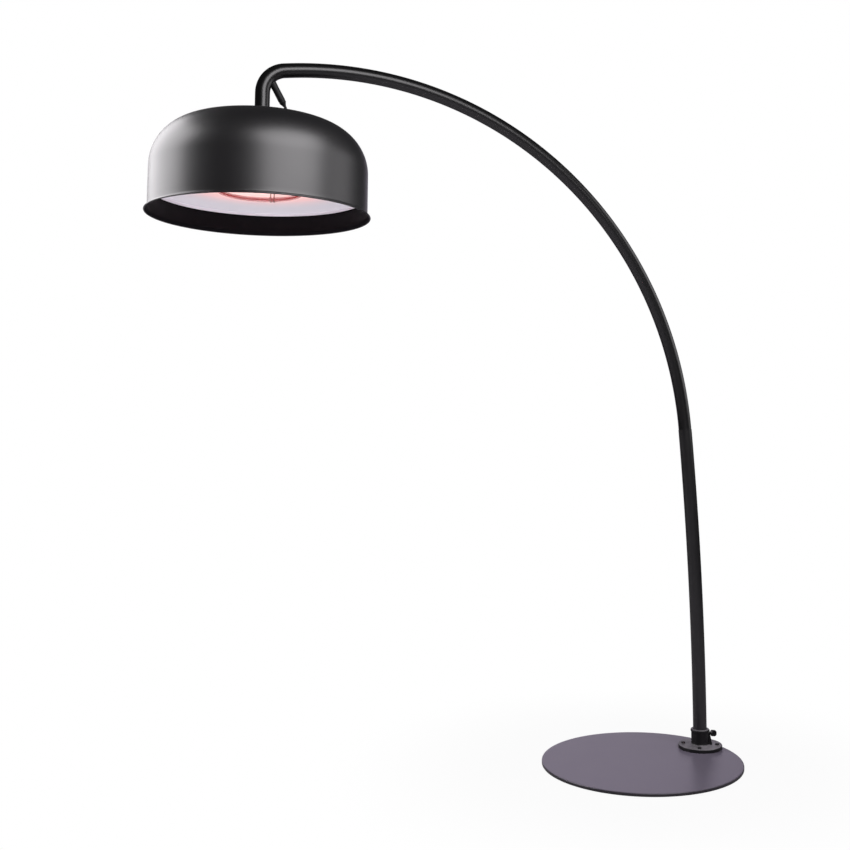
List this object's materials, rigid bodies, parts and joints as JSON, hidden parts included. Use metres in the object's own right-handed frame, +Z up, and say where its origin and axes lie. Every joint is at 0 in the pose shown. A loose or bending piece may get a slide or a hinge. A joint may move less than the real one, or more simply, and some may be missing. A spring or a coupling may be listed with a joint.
{
  "type": "patio heater",
  "caption": "Free-standing arc-arm electric patio heater: round base plate, clamped swivelling pole with a hooked arm, and a domed shade over a ring element.",
  "frame": {"origin": "centre of the base's underside, on the floor", "axes": "+Z up; the pole stands on the +X side of the base and the arm reaches over to -X"},
  "size_m": [1.5756, 0.7352, 1.8265],
  "materials": {
    "base_coat": "satin charcoal powder coat",
    "pad": "matt closed-cell sheet",
    "cast_coat": "satin black coat on a casting",
    "black_steel": "satin black powder coat",
    "black_hardware": "black oxide",
    "shade_coat": "satin black coat on spun sheet",
    "plated_steel": "zinc plated",
    "reflector_white": "white heat-proof coat",
    "black_rubber": "matt",
    "black_plastic": "moulded",
    "quartz": "clear quartz with a red glow",
    "glow": "glowing carbon fibre",
    "ceramic": "unglazed ceramic",
    "lead_sleeve": "glass-fibre sleeve"
  },
  "bodies": {
    "base": {"base_plate": "base_coat", "base_pad": "pad", "socket": "cast_coat", "flange_bolts": "black_hardware"},
    "clamp_screw": {"clamp_screw": "black_hardware"},
    "arm": {"pole_tube": "black_steel", "foot_cap": "black_plastic", "cord_grommet": "black_rubber", "joint_sleeve": "plated_steel", "arc_tube": "black_steel", "end_plug": "plated_steel", "top_washer": "black_hardware", "lead_boot": "black_rubber", "head_lead": "black_rubber", "shade_gland": "black_plastic", "gland_nut": "black_plastic", "shade": "shade_coat", "backing_plate": "plated_steel", "lock_nut": "plated_steel", "reflector": "reflector_white", "reflector_posts": "plated_steel", "reflector_screws": "plated_steel", "quartz_tube": "quartz", "filament": "glow", "element_caps": "ceramic", "element_clips": "plated_steel", "element_leads": "lead_sleeve", "terminal_block": "ceramic", "thermal_cutout": "ceramic", "tip_switch": "black_plastic"}
  },
  "joints": [
    {"name": "arm_swivel", "type": "hinge", "parent": "base", "child": "arm", "pos_m": [0.212, 0, 0.05], "axis": [0, 0, 1], "range_deg": [-51, 69]},
    {"name": "clamp_screw_turn", "type": "hinge", "parent": "base", "child": "clamp_screw", "pos_m": [0.23321, -0.02121, 0.0505], "axis": [0.7071, -0.7071, 0], "range_deg": [0, 540]}
  ]
}
